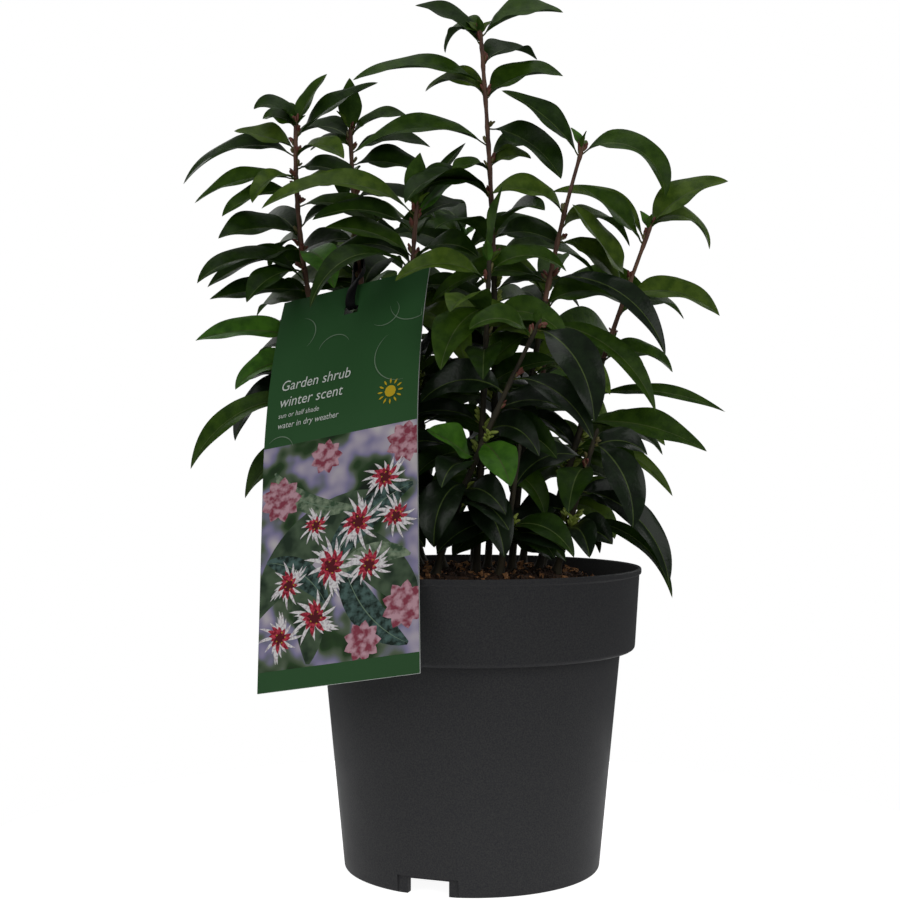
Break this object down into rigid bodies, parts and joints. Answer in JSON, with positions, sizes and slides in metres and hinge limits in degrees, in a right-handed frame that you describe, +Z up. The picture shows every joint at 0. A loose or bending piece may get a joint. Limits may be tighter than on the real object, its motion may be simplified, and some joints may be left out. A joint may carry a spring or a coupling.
{
  "type": "potted sweet box shrub",
  "caption": "Evergreen clump of upright leafy shoots in a round plastic nursery pot of soil, with a picture label that leans on the rim and hangs by a strap.",
  "frame": {"origin": "centre of the pot's flat underside, on the surface that it stands on", "axes": "+Z up, +X to the right as the label is read, -Y towards the side that the label faces"},
  "size_m": [0.3128, 0.2525, 0.4891],
  "materials": {
    "pot_plastic": "satin moulded, dark grey",
    "soil": "loose brown potting compost",
    "stem": "thin smooth bark, brown to reddish green",
    "leaf": "leathery, glossy dark green",
    "label_card": "printed plastic card",
    "strap_plastic": "black flexible band"
  },
  "bodies": {
    "root": {"pot": "pot_plastic", "soil": "soil", "label": "label_card", "label_strap": "strap_plastic", "stem_tall_centre": "stem", "stem_right_centre": "stem", "stem_left_centre": "stem", "stem_left": "stem", "stem_right": "stem", "stem_left_back": "stem", "stem_front_leaning": "stem", "stem_centre_front": "stem", "stem_low_right": "stem", "stem_low_left": "stem", "stem_right_back": "stem", "stem_back_right": "stem", "stem_back_centre": "stem", "stem_back_left": "stem", "stem_front_low": "stem", "stem_low_front_left": "stem", "foliage_tall_centre": "leaf", "foliage_right_centre": "leaf", "foliage_left_centre": "leaf", "foliage_left": "leaf", "foliage_right": "leaf", "foliage_left_back": "leaf", "foliage_front_leaning": "leaf", "foliage_centre_front": "leaf", "foliage_low_right": "leaf", "foliage_low_left": "leaf", "foliage_right_back": "leaf", "foliage_back_right": "leaf", "foliage_back_centre": "leaf", "foliage_back_left": "leaf", "foliage_front_low": "leaf", "foliage_low_front_left": "leaf"}
  },
  "joints": []
}
